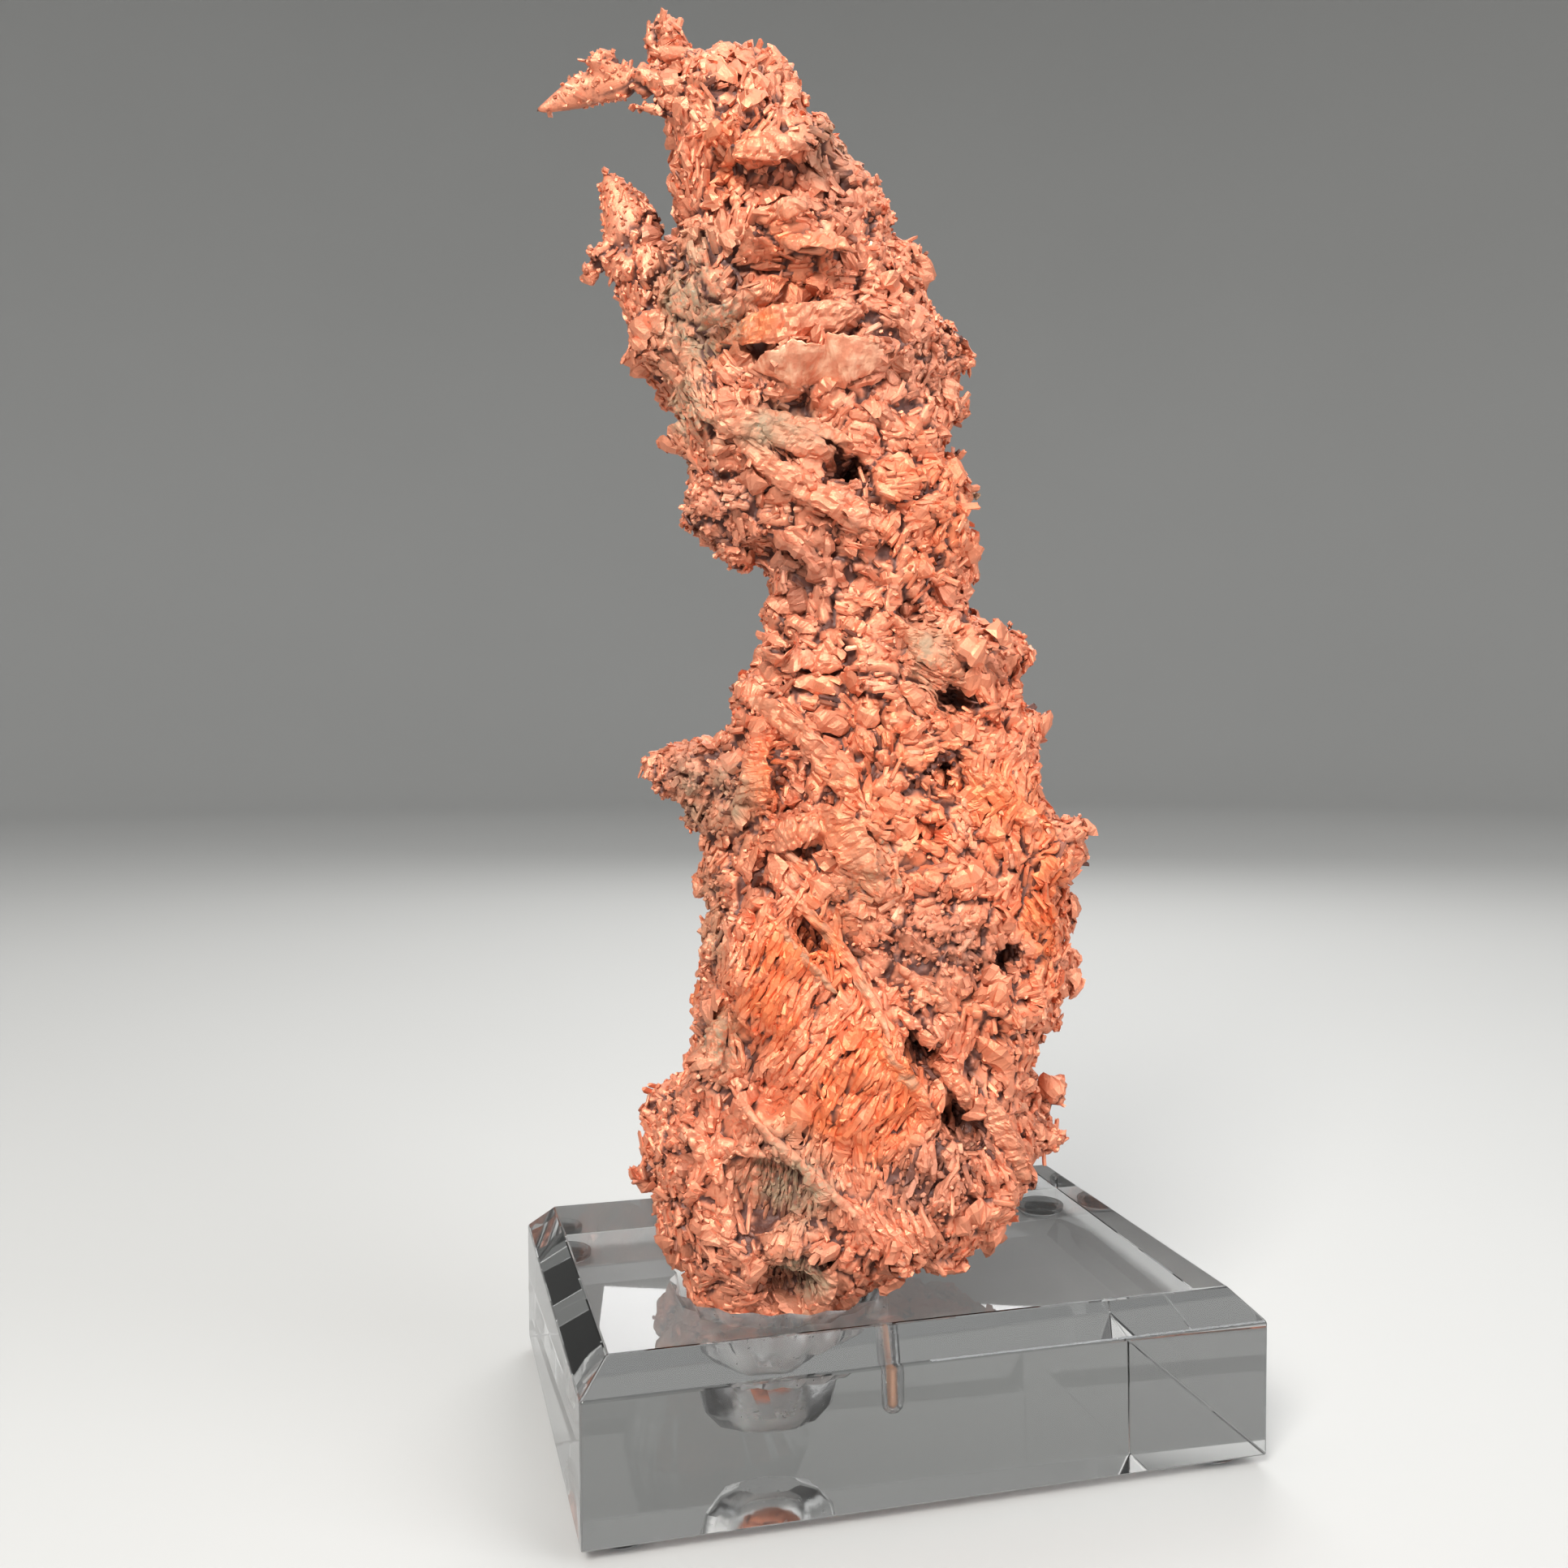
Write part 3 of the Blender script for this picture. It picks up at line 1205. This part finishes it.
points, normals, shelter = random_spots(LEAF_TRIALS, rng)
crumb = area_strength(CRUMB, points)
striped = area_strength(STRIPED, points)
fan = area_strength(FANS, points)
wanted = rng.random(LEAF_TRIALS) > np.maximum.reduce([crumb * 0.8, striped, fan * 0.7])
wanted &= between(points, 1.5)
points, normals, shelter = keep_spots(points, normals, shelter, wanted, LEAF_SPACING)
gaps, chance, turn, _ = sheaves(points)
inside = rng.random(len(points)) < 0.25 + smooth_step(gaps, 0.1, 0.9)
points, normals, shelter = points[inside], normals[inside], shelter[inside]
gaps, chance, turn = gaps[inside], chance[inside], turn[inside]
along = leaf_directions(points, normals, chance, turn, rng)
leaf_sizes = np.stack([
    rng.uniform(*LEAF_WIDTH, len(points)),
    rng.uniform(*LEAF_THICKNESS, len(points)),
    np.clip(rng.lognormal(math.log(LEAF_LENGTH[0]), LEAF_LENGTH[1], len(points)), 1.1, 4.4),
], 1)
leaf_sizes *= 1 - SLIM_SHRINK * slim_share(points)[:, None]
leaf_tones = np.clip(0.55 * rng.random(len(points)) + 0.45 * chance[:, 0], 0, 1)
leaf_shade = np.clip(shelter + 0.55 * (1 - smooth_step(gaps, 0.0, 0.9)), 0, 1)
print(len(points), "leaflets")

# %% Plant the leaflets in three pieces
LEAF_STORIES = (("low", 0.0, 70.0), ("middle", 70.0, 122.0), ("high", 122.0, 400.0))

leaf_shapes, leaf_faces = crystal_shapes(12, 6, 3, rng, 0.11, 0.2)
for name, low, high in LEAF_STORIES:
    here = (points[:, 2] >= low) & (points[:, 2] < high)
    rooted = points[here] + 0.1 * leaf_sizes[here, 2:3] * along[here]
    plant(f"copper_leaflets_{name}", leaf_shapes, leaf_faces, rooted, normals[here], along[here],
          leaf_sizes[here], leaf_shade[here], leaf_tones[here], crystal_copper, rng)

# %% Grains
GRAIN_TRIALS = 60000
GRAIN_SPACING = 0.95
GRAIN_SIZE = (0.5, 1.2)

points, normals, shelter = random_spots(GRAIN_TRIALS, rng)
crumb = area_strength(CRUMB, points)
wanted = rng.random(GRAIN_TRIALS) < np.clip(crumb, 0.08, 1.0)
wanted &= between(points, 0.8)
points, normals, shelter = keep_spots(points, normals, shelter, wanted, GRAIN_SPACING)
turn = rng.uniform(0, math.pi, len(points))
lift = rng.uniform(0.1, 1.2, len(points))[:, None]
along = unit(grain_vectors(points, normals, turn) * np.cos(lift) + normals * np.sin(lift))
grain_sizes = rng.uniform(*GRAIN_SIZE, (len(points), 3)) * (0.85, 0.85, 1.1)
grain_sizes *= 1 - SLIM_SHRINK * slim_share(points)[:, None]
grain_shapes, grain_faces = crystal_shapes(10, 5, 3, rng, 0.12, 0.1)
plant("copper_grains", grain_shapes, grain_faces, points + 0.1 * normals, normals, along,
      grain_sizes, shelter, rng.random(len(points)), crystal_copper, rng)

# %% [markdown]
# ## Strands and plates
#
# In the fans the leaflets have grown together into long wavy strands. A strand starts at a
# spot, walks along the grain in short steps, and at each step drops back onto the surface. A
# six-sided section along that path makes its skin. In a few hollows the strands are as fine as
# needles and lie side by side, like stripes. Plates are short, broad and flat strands, tilted so
# that one edge stands up and throws a shadow. Each kind has its spacing, its number of rings,
# the least and greatest step, width and share of the width that is its height, and its tilt.

# %% Strands
STRAND_TRIALS = 60000
STRAND_SIDES = 6
STRANDS = {
    "fan": (1.4, 9, (0.6, 1.1), (0.8, 1.4), (0.7, 1.1), 0),
    "sheaf": (3.5, 8, (0.35, 0.9), (0.9, 1.7), (0.6, 1.0), 8),
    "stripe": (0.8, 8, (0.4, 0.8), (0.4, 0.7), (0.7, 1.1), 0),
    "plate": (5.0, 12, (0.4, 0.8), (2.2, 4.0), (0.26, 0.4), 20),
}


def drop_on_body(points):
    """The nearest points of the body and the normals there."""
    found = [body_tree.find_nearest(Vector(p)) for p in points]
    return np.array([f[0] for f in found]), np.array([f[1] for f in found])


def walk_strands(points, normals, turn, steps, rings):
    """Paths of several points each, along the grain and on the surface."""
    paths = [points]
    tops = [normals]
    before = None
    for _ in range(rings - 1):
        ahead = grain_vectors(paths[-1], tops[-1], turn)
        if before is not None:
            ahead *= np.sign((ahead * before).sum(1, keepdims=True) + 1e-9)
        before = ahead
        place, top = drop_on_body(paths[-1] + steps[:, None] * ahead)
        paths.append(place)
        tops.append(unit(0.6 * tops[-1] + 0.4 * top))
    return np.stack(paths, 1), np.stack(tops, 1)


def grow_strands(kind, form, points, normals, shelter, turn, tones, rng):
    """One joined mesh of the strands that start at the points."""
    rings, step, width, flat, lean = form
    count = len(points)
    steps = rng.uniform(*step, count)
    paths, tops = walk_strands(points, normals, turn, steps, rings)
    paths = soften_paths(paths, 2)
    ahead = unit(np.gradient(paths, axis=1))
    tilt = np.radians(rng.normal(0, lean, (count, 1, 1)))
    tops = tops * np.cos(tilt) + np.cross(ahead, tops) * np.sin(tilt)
    along = np.linspace(-1, 1, rings)
    taper = (1 - np.abs(along) ** 3) * 0.75 + 0.25
    wave = 1 + 0.22 * np.sin(along * rng.uniform(4, 9, (count, 1)) + rng.uniform(0, 6, (count, 1)))
    widths = rng.uniform(*width, (count, 1)) * taper * wave
    heights = widths * rng.uniform(*flat, (count, 1))
    lift = rng.uniform(-0.05, 0.4, (count, 1)) + 0.12 * np.sin(along * 5 + rng.uniform(0, 6, (count, 1)))
    lift += 0.4 * np.abs(np.sin(tilt[:, :, 0])) * widths
    skins, share, faces = skin_paths(paths, tops, widths, heights, lift, STRAND_SIDES)
    skins += rng.uniform(-0.09, 0.09, skins.shape)
    keep = skins[:, :, 2].max(1) < TOP_LIMIT
    per_skin = skins.shape[1]
    places = skins[keep].reshape(-1, 3)
    faces = faces[: keep.sum()].reshape(-1, 3)
    detail = (np.repeat(tones[keep], per_skin), share[keep].ravel(), np.repeat(shelter[keep], per_skin))
    name = f"copper_strands_{kind}"
    crystal_piece(name, places, faces, skin_values(places), detail, keep.sum(), crystal_copper)


points, normals, shelter = random_spots(STRAND_TRIALS, rng)
fan = area_strength(FANS, points)
crumb = area_strength(CRUMB, points)
striped = area_strength(STRIPED, points) > rng.uniform(0.3, 0.8, STRAND_TRIALS)
room = between(points, 2.0) & (slim_share(points) < 0.3)
plain = (fan < 0.3) & ~striped & (crumb < 0.5) & (shelter < 0.6) & room
for kind, wanted in (
    ("fan", (fan > 0.3) & ~striped & room),
    ("sheaf", plain),
    ("stripe", striped & room),
    ("plate", plain),
):
    spacing, *form = STRANDS[kind]
    places = keep_spots(points, normals, shelter, wanted, spacing)
    _, chance, turn, _ = sheaves(places[0])
    tones = np.clip(0.5 * rng.random(len(turn)) + 0.4 * chance[:, 0], 0, 1)
    grow_strands(kind, form, *places, turn, tones, rng)

# %% [markdown]
# ## The clear block
#
# The block is polished acrylic with a chamfered top. Its pocket was cut with a round milling
# tool and left as cut, so it is frosted. The solid one has perfectly sharp edges, so it is
# rebuilt from its own mesh with a tiny bevel on the outer edges, which catches the light.

# %% Block mesh
EDGE_BEVEL = 0.28 * MM
OUTER_MARGIN = 5.0 * MM
SMALL_FACE = 12.0 * MM * MM

bm = bmesh.new()
bm.from_mesh(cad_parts["acrylic_base"].data)
bmesh.ops.remove_doubles(bm, verts=bm.verts, dist=1e-6)
bmesh.ops.dissolve_limit(bm, angle_limit=math.radians(0.5), verts=bm.verts, edges=bm.edges)
base_low, base_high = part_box("acrylic_base")


def on_outside(vert):
    """True for the corners of the block, away from the pocket."""
    near_side = min(abs(abs(vert.co.x) - base_high.x), abs(abs(vert.co.y) - base_high.y))
    return near_side < OUTER_MARGIN


outer_edges = [e for e in bm.edges if all(on_outside(v) for v in e.verts)]
bmesh.ops.bevel(bm, geom=outer_edges, offset=EDGE_BEVEL, offset_type="OFFSET", segments=2,
                profile=0.5, affect="EDGES", material=-1)
block_mesh = finished_mesh("acrylic_block", bm)
block_mesh.shade_smooth()
block_mesh.set_sharp_from_angle(angle=math.radians(28))
for face in block_mesh.polygons:
    face.use_smooth = face.area < SMALL_FACE
print("block:", len(outer_edges), "outer edges bevelled,", len(block_mesh.polygons), "faces")


# %% Acrylic
POLISH = 0.015
FROST = 0.16
ACRYLIC_IOR = 1.49
ACRYLIC_TINT = (0.90, 0.96, 0.97, 1.0)
ACRYLIC_DENSITY = 2.0


def acrylic_finish():
    """Clear plastic that takes a little light, polished outside and frosted in the pocket."""
    recipe = Recipe("clear acrylic")
    place = recipe.node("ShaderNodeSeparateXYZ", {}, recipe.place())
    x, y, z = [Wire(recipe, socket) for socket in place.socket.node.outputs]
    inside = (x.size() < base_high.x - OUTER_MARGIN) * (y.size() < base_high.y - OUTER_MARGIN)
    inside = inside * (z > base_low.z + 0.5 * MM) * (z < base_high.z - 0.05 * MM)
    mill = recipe.grain(900.0)
    frost = inside * (FROST + 0.14 * mill)
    bump = recipe.bump(mill * inside, 0.25, 0.0002)
    material = recipe.finish(Base_Color=(1.0, 1.0, 1.0, 1.0), Roughness=frost + POLISH,
                             Transmission_Weight=1.0, IOR=ACRYLIC_IOR, Normal=bump)
    absorb = recipe.tree.nodes.new("ShaderNodeVolumeAbsorption")
    absorb.inputs["Color"].default_value = ACRYLIC_TINT
    absorb.inputs["Density"].default_value = ACRYLIC_DENSITY
    output = recipe.tree.nodes["Material Output"]
    recipe.tree.links.new(absorb.outputs[0], output.inputs["Volume"])
    return material


block_piece = add_piece("acrylic_block", block_mesh, acrylic_finish())
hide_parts("acrylic_base")
print("acrylic_block in place")


# %% [markdown]
# ## Feet and rod
#
# The block stands on four clear bumpers, soft domes with a flat bottom that keep it off the
# shelf. Beside the pocket a short copper rod with round ends stands in a drilled hole, under
# the part of the copper that leans over. All five are turned shapes.

# %% Feet and rod
BUMPER_ROUND = 0.36
BUMPER_SHARE = 0.62


def bumper_profile(low, high, radius):
    """A flat-bottomed clear dome under the block: rounded below, straight at the top."""
    points = [(0.0, low)]
    for out, up in quarter_turn(8):
        reach = radius * (1 - BUMPER_ROUND + BUMPER_ROUND * out)
        points.append((reach, low + BUMPER_SHARE * (high - low) * up))
    return points + [(radius, high - 0.1 * MM), (0.97 * radius, high), (0.0, high)]


def rod_profile(low, high, radius):
    """A rod with round ends, from the bottom up."""
    points = [(radius * out, low + radius * up) for out, up in quarter_turn(6)]
    return points + [(r, low + high - z) for r, z in points[::-1]]


rubber = Recipe("clear bumper")
rubber_grain = rubber.grain(700.0)
bumper = rubber.finish(Base_Color=(0.80, 0.83, 0.85, 1.0), Roughness=0.10 + 0.12 * rubber_grain,
                       Transmission_Weight=1.0, IOR=1.46)
rod_recipe = Recipe("copper rod")
rod_streak = rod_recipe.grain(1800.0, 3.0)
rod_tone = rod_recipe.mix(rod_streak, (0.55, 0.28, 0.17), (0.72, 0.42, 0.28))
rod_finish = rod_recipe.finish(Base_Color=rod_tone, Metallic=0.85, Roughness=0.28 + 0.25 * rod_streak)

for node in sorted(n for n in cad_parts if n.startswith("foot_")):
    low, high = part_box(node)
    middle = (low + high) / 2
    profile = bumper_profile(low.z, high.z, (high.x - low.x) / 2)
    foot = add_piece(f"bumper_{node}", turned_mesh(node, profile, 48, middle), bumper)
    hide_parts(node)
low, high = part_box("support_pin")
profile = rod_profile(low.z, high.z, (high.x - low.x) / 2)
rod = add_piece("copper_rod", turned_mesh("copper_rod", profile, 32, (low + high) / 2), rod_finish)
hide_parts("support_pin")
print("four bumpers and the rod in place")

# %% [markdown]
#
# The dressed model has to stay inside the solid one. Both boxes are written down as plain
# numbers, low corner and high corner, in metres.

# %% Sizes and finish
low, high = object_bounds()
print("cad high", [round(x, 4) for x in cad_high], "visual high", [round(x, 4) for x in high])
